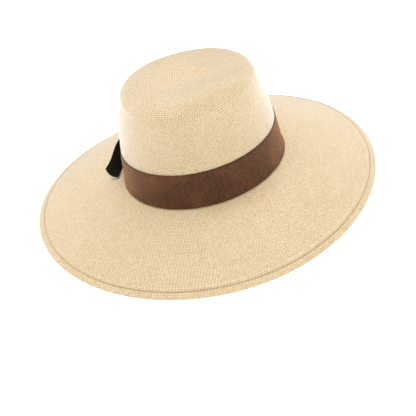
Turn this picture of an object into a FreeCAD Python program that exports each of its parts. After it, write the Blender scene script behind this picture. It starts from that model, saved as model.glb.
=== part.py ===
"""A wide-brimmed straw hat with a ribbon band and bow, built from its separate sewn pieces.

The hat stands on its brim. +Z is up, the wearer faces -Y, and the origin is at the middle of the
brim's outline, at the height of its lowest edge. Lengths are in millimetres. Every piece is drawn
about the crown's own centre, at the height where the brim leaves the crown, and then placed.
"""
import FreeCAD, Part
import math
import os

import Sketcher

Vector = FreeCAD.Vector

DIMENSIONS = [
    # crown, measured from where the brim leaves it
    ("crown_half_width", 92.0),
    ("crown_half_length", 100.3),
    ("crown_height", 117.8),
    ("shoulder_height", 101.0),
    ("shoulder_roundness", 3.0),
    ("base_flare", 1.8),
    ("flare_height", 4.0),
    ("side_taper", 11.8),
    ("front_taper", 20.3),
    ("back_taper", 23.0),
    # the thumb's deep dent on the wearer's right, the fingers' slight one on the left, and the
    # crease along the crown's top, which fades out at a share of the way to the shoulder
    ("pinch_right", 18.0),
    ("pinch_left", 6.0),
    ("pinch_forward", 15.0),
    ("pinch_height", 108.0),
    ("pinch_length", 32.0),
    ("pinch_rise", 9.0),
    ("crease_depth", 8.0),
    ("crease_half_width", 30.0),
    ("crease_half_length", 42.0),
    ("crease_forward", 12.0),
    ("crease_reach", 0.72),
    # brim, whose width and drop change from front to side to back
    ("brim_width", 105.0),
    ("brim_back_extra", 3.7),
    ("brim_side_cut", 4.4),
    ("brim_drop", 27.8),
    ("brim_back_lift", 5.5),
    ("brim_side_droop", 5.5),
    ("brim_straight_share", 0.5),
    # straw and its folded hem
    ("straw_thickness", 1.2),
    ("hem_fold", 7.5),
    ("hem_gap", 0.15),
    ("hem_seam", 6.0),
    ("hem_channel_radius", 0.75),
    ("hem_squeeze", 3.2),
    ("wire_radius", 0.55),
    ("thread_radius", 0.25),
    ("thread_clearance", 0.12),
    # ribbon round the crown
    ("hatband_bottom", 2.0),
    ("hatband_height", 42.5),
    ("hatband_thickness", 0.6),
    ("hatband_room", 1.0),
    ("hatband_joint", 0.3),
    ("tack_radius", 0.25),
    ("tack_length", 3.0),
    ("tack_clearance", 0.25),
    # bow, behind the wearer's left ear
    ("bow_angle", 38.0),
    ("bow_middle", 26.0),
    ("bow_thickness", 0.6),
    ("loop_reach", 30.0),
    ("loop_height", 42.0),
    ("loop_bulge", 6.5),
    ("tail_reach", 58.0),
    ("tail_height", 40.0),
    ("tail_flare", 21.0),
    ("tail_lift", 6.0),
    ("tail_drop", 28.0),
    ("tail_sag", 4.0),
    ("tail_cup", 3.0),
    ("knot_width", 12.0),
    ("knot_height", 35.0),
    # sweatband inside the crown
    ("sweatband_bottom", 1.0),
    ("sweatband_height", 30.0),
    ("sweatband_thickness", 0.8),
    ("sweatband_room", 0.5),
    ("sweatband_joint", 0.4),
    ("sweatband_seam", 2.5),
    ("label_width", 28.0),
    ("label_height", 14.0),
    ("label_bottom", 10.0),
    ("label_thickness", 0.5),
]

RING_POINTS = 72       # points round the head in every free-form skin
RING_ANGLES = [2 * math.pi * step / RING_POINTS for step in range(RING_POINTS)]
CORD_SIDES = 10        # sides of a thread or wire
CURVE_DEGREE = 3
SEWING_GAP = 0.001
BACK_ANGLE = 90.0
CREASE_FADE = 6        # how suddenly the crease ends near the shoulder

# Where the straw's rings of points stand. The dome has so many, the wall's are shares of the
# shoulder's height, the foot's is a height, the brim's are shares of its width, and the hem's are
# distances in from the wire, then turns round it in degrees.
DOME_RINGS = 12
WALL_SHARES = (1.0, 0.9, 0.8, 0.7, 0.6, 0.5, 0.4, 0.3, 0.21, 0.13, 0.07)
FOOT_HEIGHT = 2.5
BRIM_SHARES = (0.035, 0.08, 0.14, 0.22, 0.32, 0.43, 0.54, 0.65, 0.76, 0.85)
HEM_STATIONS = (9.0, 6.5, 4.0, 1.5)
BEND_STEP = 40
BEND_TURNS = (60, 20, -20, -60)

# Levels of a ribbon's ovals, as shares of its height.
HATBAND_LEVELS = (0.0, 0.1, 0.25, 0.5, 0.75, 1.0)
SWEATBAND_LEVELS = (0.0, 0.5, 1.0)

# Each layer of the bow stands this far out from the ribbon's outer face at the knot.
TAIL_LAYER = 0.8
KNOT_BACK_LAYER = 1.7
INNER_LEAF_LAYER = 2.6
OUTER_LEAF_LAYER = 3.7
KNOT_FRONT_LAYER = 4.9
# The leaves of a loop: share of the loop's reach, and share of the way out to its bulge.
OUTER_LEAF = ((0.02, 0), (0.12, 0), (0.22, 0.02), (0.34, 0.5), (0.52, 0.9), (0.7, 1), (0.88, 0.92))
INNER_LEAF = ((0.99, 0.55), (0.99, 0.2), (0.88, 0), (0.7, 0), (0.5, 0), (0.25, 0), (0, 0))
# A loop is narrowed under the knot, and opens to its full width over part of its reach.
LOOP_PINCHED = 0.6
LOOP_OPENING = 0.45
# Half of the tails, from the middle to the cut end, as shares of their reach.
TAIL_HALF = (0.14, 0.28, 0.41, 0.55, 0.68, 0.78, 0.86, 0.93, 1.0)
TAIL_SHARES = tuple(-share for share in TAIL_HALF[::-1]) + (0.0,) + TAIL_HALF
TAIL_PINCHED = 0.66
TAIL_OPEN_AT = 0.5
# Past the loops a tail first swells away from the crown, then curls out at its cut end.
TAIL_SWELL = 0.58
TAIL_SWELL_POWER = 2.2
TAIL_CURL_POWER = 6
TAIL_DROOP_POWER = 1.15
ACROSS_SHARES = (-1.0, -0.7, -0.35, 0.0, 0.35, 0.7, 1.0)
# Half of the knot: share of the way from its back layer to its front one, and of its half height.
KNOT_OUTLINE = ((0, 0.02), (0, 0.35), (0, 0.75), (0, 0.95), (0.5, 1.06), (1, 0.95), (1, 0.7),
                (1, 0.35), (1, 0))
LABEL_LEVELS = (0.0, 0.33, 0.67, 1.0)

# Places of the small stitches.
HATBAND_TACKS = 7
HATBAND_TACK_DROP = 0.6        # below the ribbon's top edge, in stitch lengths
BOW_TACK_OFFSET = 0.75         # to each side of the knot, in knot widths
BOW_TACK_LEVELS = (-0.28, 0.22)    # from the bow's middle, in tail heights
LAP_LEVELS = (0.12, 0.78)      # up the sweatband, in sweatband heights
JOINT_REACH = 1.3              # how far a joint's cutting wedge runs, in crown half lengths

document = FreeCAD.newDocument("straw_hat")
sheet = document.addObject("Spreadsheet::Sheet", "Dimensions")
for row, (alias, value) in enumerate(DIMENSIONS, start=1):
    sheet.set(f"A{row}", alias)
    sheet.set(f"B{row}", str(value))
    sheet.setAlias(f"B{row}", alias)
document.recompute()


def size(alias):
    """One driving dimension, read from the sheet."""
    return float(sheet.get(alias))


# ---------------------------------------------------------------- the head's oval and the crown


def end_taper(angle):
    """Taper at the crown's front or back end."""
    return size("front_taper") if math.sin(angle) < 0 else size("back_taper")


def wall_inset(height, taper):
    """How far the crown's wall stands inside the oval of its foot at a height."""
    share = height / size("shoulder_height")
    climb = max(0.0, height - size("hatband_bottom"))
    flare = size("base_flare") * (1 - math.exp(-climb / size("flare_height")))
    side = (size("side_taper") - size("base_flare")) * share
    return flare + side + (taper - size("side_taper")) * share**3


def oval_normal(angle):
    """Outward level direction of the head's oval."""
    across = math.cos(angle) / size("crown_half_width")
    along = math.sin(angle) / size("crown_half_length")
    return Vector(across, along, 0).normalize()


def wall_point(angle, height, outward):
    """A point beside the crown's wall, where outward 0 is the ribbon's outer face."""
    across = size("crown_half_width") - wall_inset(height, size("side_taper"))
    along = size("crown_half_length") - wall_inset(height, end_taper(angle))
    on_wall = Vector(across * math.cos(angle), along * math.sin(angle), height)
    return on_wall + oval_normal(angle) * outward


def angle_along(start_angle, distance):
    """The oval's angle a short distance round from a start angle."""
    across = size("crown_half_width") * math.sin(start_angle)
    along = size("crown_half_length") * math.cos(start_angle)
    return start_angle + distance / math.hypot(across, along)


def bell(value, width):
    """A smooth bump, 1 in the middle."""
    return math.exp(-((value / width) ** 2) / 2)


def dented(point):
    """Presses the finger dents into the crown's sides and the crease into its top."""
    near_side = min(1.0, abs(point.x) / (size("crown_half_width") / 2)) ** 2
    pinch = size("pinch_right" if point.x < 0 else "pinch_left") * near_side
    pinch *= bell(point.y + size("pinch_forward"), size("pinch_length"))
    pinch *= bell(point.z - size("pinch_height"), size("pinch_rise"))
    spread = math.hypot(point.x / size("crown_half_width"), point.y / size("crown_half_length"))
    crease = size("crease_depth") * math.exp(-((spread / size("crease_reach")) ** CREASE_FADE))
    crease *= bell(point.x, size("crease_half_width"))
    crease *= bell(point.y + size("crease_forward"), size("crease_half_length"))
    if point.z < size("shoulder_height"):
        crease = 0.0
    return Vector(point.x - math.copysign(pinch, point.x), point.y, point.z - crease)


def crown_ring(height, spread):
    """A ring of the straw's outer face; spread shrinks it towards the top of the dome."""
    ring = []
    for angle in RING_ANGLES:
        point = wall_point(angle, height, 0)
        room = 1 - size("hatband_room") / size("crown_half_width")
        ring.append(dented(Vector(point.x * spread * room, point.y * spread * room, height)))
    return ring


def dome_rings(count):
    """Rings from the crown's top to its shoulder, on a squared-off dome."""
    power = size("shoulder_roundness")
    rise = size("crown_height") - size("shoulder_height")
    rings = []
    for step in range(count):
        lean = math.pi / 2 * step / count
        across, up = math.sin(lean), math.cos(lean)
        reach = (across**power + up**power) ** (-1 / power)
        rings.append(crown_ring(size("shoulder_height") + rise * reach * up, reach * across))
    return rings


# ---------------------------------------------------------------- the brim and its hem


def brim_reach(angle):
    """Width of the brim."""
    back = size("brim_back_extra") * math.sin(angle)
    return size("brim_width") + back - size("brim_side_cut") * math.cos(2 * angle)


def brim_fall(angle):
    """How far the brim's edge hangs below the foot of the crown."""
    back = size("brim_back_lift") * math.sin(angle)
    return size("brim_drop") - back + size("brim_side_droop") * math.cos(2 * angle)


def brim_point(angle, share):
    """A point on the brim's upper face; share runs from the crown, 0, to the edge, 1."""
    foot = wall_point(angle, 0, 0)
    straight = size("brim_straight_share")
    fall = brim_fall(angle) * (straight * share + (1 - straight) * share**2)
    return foot + oval_normal(angle) * (brim_reach(angle) * share) - Vector(0, 0, fall)


def hem_frame(angle):
    """The centre of the wire's channel, and the brim's own outward and upward directions there."""
    slope = -brim_fall(angle) * (2 - size("brim_straight_share")) / brim_reach(angle)
    level = oval_normal(angle)
    outward = (level + Vector(0, 0, slope)).normalize()
    upward = (Vector(0, 0, 1) - level * slope).normalize()
    bend = hem_bend_radius()
    return brim_point(angle, 1) - (outward + upward) * bend, outward, upward


def hem_bend_radius():
    """Outside radius of the straw where it turns under round the wire."""
    return size("hem_channel_radius") + size("straw_thickness")


def hem_ring(inward, upward_by):
    """A ring of points that stands inward of the wire and above or below it."""
    ring = []
    for angle in RING_ANGLES:
        centre, outward, upward = hem_frame(angle)
        ring.append(centre - outward * inward + upward * upward_by)
    return ring


def bend_rings(radius, turns):
    """Rings round the wire, at turns measured in degrees up from level."""
    rounding = 3 / (2 + math.cos(math.radians(BEND_STEP)))
    rings = []
    for turn in turns:
        across = radius * rounding * math.cos(math.radians(turn))
        up = radius * rounding * math.sin(math.radians(turn))
        rings.append(hem_ring(-across, up))
    return rings


# ---------------------------------------------------------------- free-form skins and solids


def knot_vector(count, degree, periodic):
    """Evenly spaced knots, and how often each counts."""
    if periodic:
        return list(range(count + 1)), [1] * (count + 1)
    spans = count - degree
    return list(range(spans + 1)), [degree + 1] + [1] * (spans - 1) + [degree + 1]


def skin(rings, closed_rows=False, closed_rings=True):
    """A smooth face over a net of points, closed round each ring unless told otherwise."""
    row_degree = CURVE_DEGREE if len(rings) > CURVE_DEGREE else 1
    ring_degree = CURVE_DEGREE if len(rings[0]) > CURVE_DEGREE else 1
    row_knots, row_counts = knot_vector(len(rings), row_degree, closed_rows)
    ring_knots, ring_counts = knot_vector(len(rings[0]), ring_degree, closed_rings)
    surface = Part.BSplineSurface()
    surface.buildFromPolesMultsKnots(
        rings, row_counts, ring_counts, row_knots, ring_knots,
        closed_rows, closed_rings, row_degree, ring_degree,
    )
    return surface.toShape()


def solid_from(faces):
    """Sews faces that share their edges into one closed solid."""
    net = Part.makeCompound(faces)
    net.sewShape(SEWING_GAP)
    solid = Part.Solid(Part.Shell(net.Faces))
    if solid.Volume < 0:
        solid.reverse()
    return solid


def surface_normals(net, closed_rings):
    """The unit normal at each point of a net, on the side of row direction x ring direction."""
    normals = []
    for i, row in enumerate(net):
        above, below = net[max(i - 1, 0)], net[min(i + 1, len(net) - 1)]
        line = []
        for j in range(len(row)):
            if closed_rings:
                left, right = row[j - 1], row[(j + 1) % len(row)]
            else:
                left, right = row[max(j - 1, 0)], row[min(j + 1, len(row) - 1)]
            normal = (below[j] - above[j]).cross(right - left)
            line.append(normal.normalize() if normal.Length > 0 else Vector(0, 0, 1))
        normals.append(line)
    return normals


def offset_net(net, normals, distance):
    """The net moved along its normals."""
    return [
        [point + normal * distance for point, normal in zip(row, line)]
        for row, line in zip(net, normals)
    ]


def ribbon_solid(net, thickness):
    """A ribbon of even thickness about a net of points."""
    normals = surface_normals(net, closed_rings=False)
    front = offset_net(net, normals, thickness / 2)
    back = offset_net(net, normals, -thickness / 2)
    edges = [(front[0], back[0]), (front[-1], back[-1])]
    for side in (0, -1):
        edges.append(([row[side] for row in front], [row[side] for row in back]))
    faces = [skin(front, closed_rings=False), skin(back, closed_rings=False)]
    faces += [skin(list(pair), closed_rings=False) for pair in edges]
    return solid_from(faces)


def cord_section(radius):
    """The corners of a cord's many-sided section, as steps outward and up from its middle."""
    turns = [2 * math.pi * step / CORD_SIDES for step in range(CORD_SIDES)]
    return [(radius * math.cos(turn), radius * math.sin(turn)) for turn in turns]


def cord_round(rings):
    """A closed cord whose narrow sides join each ring to the next."""
    return solid_from([skin([rings[side - 1], rings[side]]) for side in range(len(rings))])


def cord_along_hem(inward, upward_by, radius):
    """A closed cord that follows the brim's edge."""
    section = cord_section(radius)
    return cord_round([hem_ring(inward - across, upward_by + up) for across, up in section])


def free_form(label, shape):
    """Stores a shape as a sub-part."""
    feature = document.addObject("Part::Feature", label)
    feature.Label = label
    feature.Shape = shape
    return feature


# ---------------------------------------------------------------- straw


def fold_height(inward):
    """Height of the folded layer's inner face against the wire's centre."""
    channel = size("hem_channel_radius")
    closed = channel - size("hem_gap")
    return closed - (closed + channel) * math.exp(-((inward / size("hem_squeeze")) ** 2))


def make_straw_body():
    """Crown and brim in one piece, with the brim's edge turned under round the wire."""
    crown = dome_rings(DOME_RINGS)
    crown += [crown_ring(share * size("shoulder_height"), 1) for share in WALL_SHARES]
    crown.append(crown_ring(FOOT_HEIGHT, 1))
    crown.append(crown_ring(0, 1))
    brim = [[brim_point(angle, share) for angle in RING_ANGLES] for share in BRIM_SHARES]
    upper = crown + brim
    normals = surface_normals(upper, closed_rings=True)
    lower = offset_net(upper, normals, -size("straw_thickness"))

    fold = size("hem_fold")
    channel = size("hem_channel_radius")
    straw = size("straw_thickness")
    outer = [hem_ring(inward, hem_bend_radius()) for inward in HEM_STATIONS]
    outer += bend_rings(hem_bend_radius(), BEND_TURNS)
    inner = [hem_ring(inward, channel) for inward in HEM_STATIONS]
    inner += bend_rings(channel, BEND_TURNS)
    for inward in HEM_STATIONS[::-1][:-1] + (fold,):
        outer.append(hem_ring(inward, fold_height(inward) - straw))
        inner.append(hem_ring(inward, fold_height(inward)))
    lip = [outer[-1], inner[-1]]
    return solid_from([skin(upper + outer), skin(lip), skin(lower + inner)])


# ---------------------------------------------------------------- bands wound round the head


def wall_formula(half_size, taper, height, inward):
    """The sheet's formula for a half axis of the crown's oval at a height."""
    d = "Dimensions."
    climb = f"max(0; {height} - {d}hatband_bottom)"
    flare = f"{d}base_flare * (1 - exp(-{climb} / {d}flare_height))"
    share = f"({height}) / {d}shoulder_height"
    side = f"({d}side_taper - {d}base_flare) * {share}"
    end = f"({taper} - {d}side_taper) * pow({share}; 3)"
    return f"{d}{half_size} - {flare} - {side} - {end} - ({inward})"


def plane_of(body, role):
    """A body's own origin plane."""
    return next(item for item in body.Origin.OriginFeatures if item.Role == role)


def oval_sketch(body, name, height, inward):
    """A level oval that follows the crown's wall, a distance inside the ribbon's outer face."""
    sketch = body.newObject("Sketcher::SketchObject", name)
    sketch.AttachmentSupport = (plane_of(body, "XY_Plane"), [""])
    sketch.MapMode = "FlatFace"
    sketch.setExpression("AttachmentOffset.Base.z", height)
    half_width, half_length = size("crown_half_width"), size("crown_half_length")
    oval = Part.Ellipse(Vector(0, half_length, 0), Vector(half_width, 0, 0), Vector(0, 0, 0))
    curve = sketch.addGeometry(oval, False)
    sketch.exposeInternalGeometry(curve)
    long_axis, short_axis = curve + 1, curve + 2
    sketch.addConstraint(Sketcher.Constraint("Coincident", curve, 3, -1, 1))
    sketch.addConstraint(Sketcher.Constraint("Vertical", long_axis))
    end_taper_text = "(Dimensions.front_taper + Dimensions.back_taper) / 2"
    for axis, half_size, taper in (
        (long_axis, "crown_half_length", end_taper_text),
        (short_axis, "crown_half_width", "Dimensions.side_taper"),
    ):
        full = 2 * size(half_size)
        constraint = sketch.addConstraint(Sketcher.Constraint("Distance", axis, full))
        formula = wall_formula(half_size, taper, height, inward)
        sketch.setExpression(f"Constraints[{constraint}]", f"2 * ({formula})")
    return sketch


def loft_through(body, kind, name, heights, inward):
    """Lofts a wall through ovals at the given heights."""
    sketches = [
        oval_sketch(body, f"{name}_oval_{step}", height, inward)
        for step, height in enumerate(heights)
    ]
    loft = body.newObject(kind, name)
    loft.Profile = sketches[0]
    loft.Sections = sketches[1:]
    return loft


def cut_joint(body, name, angle, gap, outside, top):
    """Cuts the narrow gap where a strip's two ends meet."""
    sketch = body.newObject("Sketcher::SketchObject", f"{name}_gap")
    sketch.AttachmentSupport = (plane_of(body, "XY_Plane"), [""])
    sketch.MapMode = "FlatFace"
    reach = JOINT_REACH * size("crown_half_length")
    reach_text = f"{JOINT_REACH} * Dimensions.crown_half_length"
    half_gap = math.degrees(math.atan2(size(gap) / 2, size("crown_half_width")))
    first, last = math.radians(angle - half_gap), math.radians(angle + half_gap)
    corners = [
        Vector(0, 0, 0),
        Vector(reach * math.cos(first), reach * math.sin(first), 0),
        Vector(reach * math.cos(last), reach * math.sin(last), 0),
    ]
    for start, end in ((0, 1), (1, 2), (2, 0)):
        sketch.addGeometry(Part.LineSegment(corners[start], corners[end]), False)
    for start, end in ((0, 1), (1, 2), (2, 0)):
        sketch.addConstraint(Sketcher.Constraint("Coincident", start, 2, end, 1))
    sketch.addConstraint(Sketcher.Constraint("Coincident", 0, 1, -1, 1))
    for line in (0, 2):
        length = sketch.addConstraint(Sketcher.Constraint("Distance", line, reach))
        sketch.setExpression(f"Constraints[{length}]", reach_text)
    opening = sketch.addConstraint(Sketcher.Constraint("Distance", 1, size(gap)))
    width = f"Dimensions.{gap} * {reach_text} / Dimensions.crown_half_width"
    sketch.setExpression(f"Constraints[{opening}]", width)
    sketch.addConstraint(Sketcher.Constraint("Angle", 0, first))
    pocket = body.newObject("PartDesign::Pocket", name)
    pocket.Profile = sketch
    pocket.Type = 0
    pocket.Reversed = True
    pocket.setExpression("Length", top)
    document.recompute()
    if not 0 < outside.Shape.Volume - pocket.Shape.Volume < 0.01 * outside.Shape.Volume:
        raise RuntimeError(f"{name} does not cut a narrow gap")
    return pocket


def make_wound_strip(label, bottom, height, levels, inward, thickness, joint, angle):
    """A strip of ribbon that runs once round the crown's wall, its ends butted together."""
    body = document.addObject("PartDesign::Body", label)
    body.Label = label
    d = "Dimensions."
    heights = [f"({d}{bottom} + {level} * {d}{height})" for level in levels]
    loft_through(body, "PartDesign::AdditiveLoft", f"{label}_outside", heights, inward)
    inner = f"{inward} + {d}{thickness}"
    hollow = loft_through(body, "PartDesign::SubtractiveLoft", f"{label}_inside", heights, inner)
    document.recompute()
    top = f"{d}{bottom} + {d}{height} + 1"
    cut_joint(body, f"{label}_joint", angle, joint, hollow, top)
    return body


# ---------------------------------------------------------------- small stitches


def make_tacks(label, places):
    """Short upright stitches: each place is an angle, the stitch's foot and its stand-off."""
    stitches = []
    for number, (angle, foot, outward) in enumerate(places, start=1):
        stitch = document.addObject("Part::Cylinder", f"{label}_{number}")
        stitch.setExpression("Radius", "Dimensions.tack_radius")
        stitch.setExpression("Height", "Dimensions.tack_length")
        start = wall_point(angle, foot, outward)
        end = wall_point(angle, foot + size("tack_length"), outward)
        turn = FreeCAD.Rotation(Vector(0, 0, 1), end - start)
        stitch.Placement = FreeCAD.Placement(start, turn)
        stitches.append(stitch)
    group = document.addObject("Part::Compound", label)
    group.Label = label
    group.Links = stitches
    return group


# ---------------------------------------------------------------- bow


def bow_point(distance, height, outward):
    """A point of the bow, a distance round from its knot."""
    angle = angle_along(math.radians(size("bow_angle")), distance)
    return wall_point(angle, height, outward)


def make_bow_loops():
    """One ribbon: from the knot out along a loop, back behind the knot, and round the other."""
    reach, bulge = size("loop_reach"), size("loop_bulge")
    half_full = size("loop_height") / 2
    path = []
    for layer, leaf in ((OUTER_LEAF_LAYER, OUTER_LEAF), (INNER_LEAF_LAYER, INNER_LEAF)):
        for along, lift in leaf:
            path.append((along * reach, layer + lift * (bulge - layer)))
    path += [(-distance, outward) for distance, outward in path[-2::-1]]
    net = []
    for distance, outward in path:
        past_knot = max(0.0, abs(distance) - size("knot_width") / 2)
        opened = min(1.0, past_knot / (LOOP_OPENING * reach))
        half = half_full * (LOOP_PINCHED + (1 - LOOP_PINCHED) * opened * (2 - opened))
        middle = size("bow_middle")
        net.append([bow_point(distance, middle + share * half, outward) for share in ACROSS_SHARES])
    return ribbon_solid(net, size("bow_thickness"))


def make_bow_tails():
    """The ribbon under the loops: past them its two cut ends droop and curl out over the brim."""
    net = []
    flare_start = size("loop_reach") + size("bow_thickness")
    for share in TAIL_SHARES:
        distance = share * size("tail_reach")
        past_loop = max(0.0, abs(distance) - flare_start) / (size("tail_reach") - flare_start)
        droop = past_loop**TAIL_DROOP_POWER
        curl = TAIL_SWELL * (1 - (1 - past_loop) ** TAIL_SWELL_POWER)
        curl += (1 - TAIL_SWELL) * past_loop**TAIL_CURL_POWER
        opened = min(1.0, abs(share) / TAIL_OPEN_AT)
        half = size("tail_height") / 2 * (TAIL_PINCHED + (1 - TAIL_PINCHED) * opened)
        row = []
        for across in ACROSS_SHARES:
            upper = (1 + across) / 2
            fall = size("tail_sag") + (size("tail_drop") - size("tail_sag")) * upper
            kick = size("tail_lift") + (size("tail_flare") - size("tail_lift")) * upper
            cup = size("tail_cup") * (1 - across**2) * curl
            height = size("bow_middle") + across * half - fall * droop - cup
            row.append(bow_point(distance, height, TAIL_LAYER + kick * curl + cup))
        net.append(row)
    return ribbon_solid(net, size("bow_thickness"))


def make_bow_knot():
    """A short ribbon wrapped round the middle of the loops, its ends butted behind them."""
    half = size("knot_height") / 2
    depth = KNOT_FRONT_LAYER - KNOT_BACK_LAYER
    outline = [(KNOT_BACK_LAYER + depth * out, half * up) for out, up in KNOT_OUTLINE]
    path = [(outward, -up) for outward, up in outline[:-1]] + outline[::-1]
    net = []
    for outward, up in path:
        row = []
        for share in ACROSS_SHARES:
            distance = share * size("knot_width") / 2
            row.append(bow_point(distance, size("bow_middle") + up, outward))
        net.append(row)
    return ribbon_solid(net, size("bow_thickness"))


# ---------------------------------------------------------------- label inside the back


def make_back_label():
    """A blank woven label, sewn flat to the sweatband at the back."""
    inward = size("hatband_room") + size("straw_thickness") + size("sweatband_room")
    inward += size("sweatband_thickness") + size("label_thickness")
    net = []
    for share in ACROSS_SHARES:
        angle = angle_along(math.radians(BACK_ANGLE), share * size("label_width") / 2)
        row = []
        for up in LABEL_LEVELS:
            height = size("label_bottom") + up * size("label_height")
            row.append(wall_point(angle, height, -inward))
        net.append(row)
    return ribbon_solid(net, size("label_thickness"))


# ---------------------------------------------------------------- assembly


def make_sweatband_thread():
    """The seam that runs round the sweatband's foot, on its inner face."""
    inward = size("hatband_room") + size("straw_thickness") + size("sweatband_room")
    inward += size("sweatband_thickness") + size("thread_radius") + size("thread_clearance")
    height = size("sweatband_bottom") + size("sweatband_seam")
    rings = []
    for across, up in cord_section(size("thread_radius")):
        rings.append([wall_point(angle, height + up, across - inward) for angle in RING_ANGLES])
    return cord_round(rings)


def hatband_tack_places():
    """Tacks evenly spaced along the ribbon's top edge, clear of the bow."""
    outward = size("tack_radius") + size("tack_clearance")
    top = size("hatband_bottom") + size("hatband_height")
    foot = top - HATBAND_TACK_DROP * size("tack_length")
    start = math.radians(size("bow_angle"))
    spacing = 2 * math.pi / (HATBAND_TACKS + 1)
    return [(start + number * spacing, foot, outward) for number in range(1, HATBAND_TACKS + 1)]


def bow_tack_places():
    """Four stitches that hold the tails to the ribbon, above and below the knot."""
    outward = TAIL_LAYER + size("bow_thickness") / 2 + size("tack_radius")
    outward += size("thread_clearance")
    places = []
    for side in (-1, 1):
        distance = side * BOW_TACK_OFFSET * size("knot_width")
        angle = angle_along(math.radians(size("bow_angle")), distance)
        for up in BOW_TACK_LEVELS:
            foot = size("bow_middle") + up * size("tail_height")
            places.append((angle, foot, outward))
    return places


def lap_stitch_places():
    """A column of stitches that joins the sweatband's ends at the back."""
    inward = size("hatband_room") + size("straw_thickness") + size("sweatband_room")
    inward += size("sweatband_thickness") + size("tack_radius") + size("thread_clearance")
    places = []
    for share in LAP_LEVELS:
        foot = size("sweatband_bottom") + share * size("sweatband_height")
        places.append((math.radians(BACK_ANGLE), foot, -inward))
    return places


def make_hat():
    """Every sub-part of the hat, about the crown's own centre."""
    seam_top = hem_bend_radius() + size("thread_radius") + size("thread_clearance")
    fold_face = fold_height(size("hem_seam")) - size("straw_thickness")
    seam_bottom = fold_face - size("thread_radius") - size("thread_clearance")
    inside_straw = "Dimensions.hatband_room + Dimensions.straw_thickness"
    inside_straw += " + Dimensions.sweatband_room"
    seam = size("hem_seam")
    thread = size("thread_radius")
    return [
        free_form("straw_body", make_straw_body()),
        free_form("brim_wire", cord_along_hem(0, 0, size("wire_radius"))),
        free_form("hem_top_thread", cord_along_hem(seam, seam_top, thread)),
        free_form("hem_bottom_thread", cord_along_hem(seam, seam_bottom, thread)),
        make_wound_strip(
            "hatband", "hatband_bottom", "hatband_height", HATBAND_LEVELS, "0",
            "hatband_thickness", "hatband_joint", size("bow_angle"),
        ),
        make_tacks("hatband_tacks", hatband_tack_places()),
        free_form("bow_tails", make_bow_tails()),
        free_form("bow_loops", make_bow_loops()),
        free_form("bow_knot", make_bow_knot()),
        make_tacks("bow_tacks", bow_tack_places()),
        make_wound_strip(
            "sweatband", "sweatband_bottom", "sweatband_height", SWEATBAND_LEVELS, inside_straw,
            "sweatband_thickness", "sweatband_joint", BACK_ANGLE,
        ),
        free_form("sweatband_thread", make_sweatband_thread()),
        make_tacks("sweatband_lap_stitches", lap_stitch_places()),
        free_form("back_label", make_back_label()),
    ]


def stand_on_brim(parts):
    """Moves the hat so that its brim rests at height 0 and its outline is centred."""
    lowest = min(hem_frame(angle)[0].z for angle in RING_ANGLES) - hem_bend_radius()
    back = hem_frame(math.pi / 2)[0].y
    front = hem_frame(-math.pi / 2)[0].y
    shift = FreeCAD.Placement(Vector(0, -(front + back) / 2, -lowest), FreeCAD.Rotation())
    for part in parts:
        part.Placement = shift.multiply(part.Placement)


def check_and_write(parts):
    """Stops on any failed object or shape, then writes one file per sub-part."""
    for item in document.Objects:
        if "Invalid" in item.State or "Error" in item.State:
            raise RuntimeError(f"{item.Label} failed: {item.State}")
    for part in parts:
        if part.Shape.isNull() or not part.Shape.isValid():
            raise RuntimeError(f"{part.Label} has no valid shape")
        if not part.Shape.Solids:
            raise RuntimeError(f"{part.Label} has no solid")
    os.makedirs("parts", exist_ok=True)
    for part in parts:
        part.Shape.exportStep(f"parts/{part.Label}.step")
        print(part.Label, len(part.Shape.Solids), "solids", round(part.Shape.Volume, 1), "mm3")


hat_parts = make_hat()
document.recompute()
stand_on_brim(hat_parts)
document.recompute()
check_and_write(hat_parts)
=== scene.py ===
"""The looks of a woven straw hat with a ribbon band and bow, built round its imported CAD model.

Each piece's shape is worked out in millimetres about the middle of the crown's foot, with the
wearer facing -Y and +Z up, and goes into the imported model's frame in metres when its mesh is made.
"""

import math

import bpy
import numpy as np
from mathutils import Matrix, Vector


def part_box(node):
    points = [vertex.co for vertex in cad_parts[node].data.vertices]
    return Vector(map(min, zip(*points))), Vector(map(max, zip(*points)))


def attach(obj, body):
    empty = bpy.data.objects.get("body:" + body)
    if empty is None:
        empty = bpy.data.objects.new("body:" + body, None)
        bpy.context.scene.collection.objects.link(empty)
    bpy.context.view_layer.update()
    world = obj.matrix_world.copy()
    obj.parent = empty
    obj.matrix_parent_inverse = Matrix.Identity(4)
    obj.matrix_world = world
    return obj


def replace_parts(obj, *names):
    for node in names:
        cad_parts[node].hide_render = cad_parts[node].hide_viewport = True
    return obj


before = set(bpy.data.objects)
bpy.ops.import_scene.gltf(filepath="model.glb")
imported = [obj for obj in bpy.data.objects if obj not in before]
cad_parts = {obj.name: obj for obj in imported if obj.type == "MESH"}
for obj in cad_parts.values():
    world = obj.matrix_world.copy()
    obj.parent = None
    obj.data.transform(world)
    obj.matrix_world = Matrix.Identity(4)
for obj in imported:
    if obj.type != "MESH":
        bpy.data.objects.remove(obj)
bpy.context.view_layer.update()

# ---------------------------------------------------------------- dimensions, as in the CAD model

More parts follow.
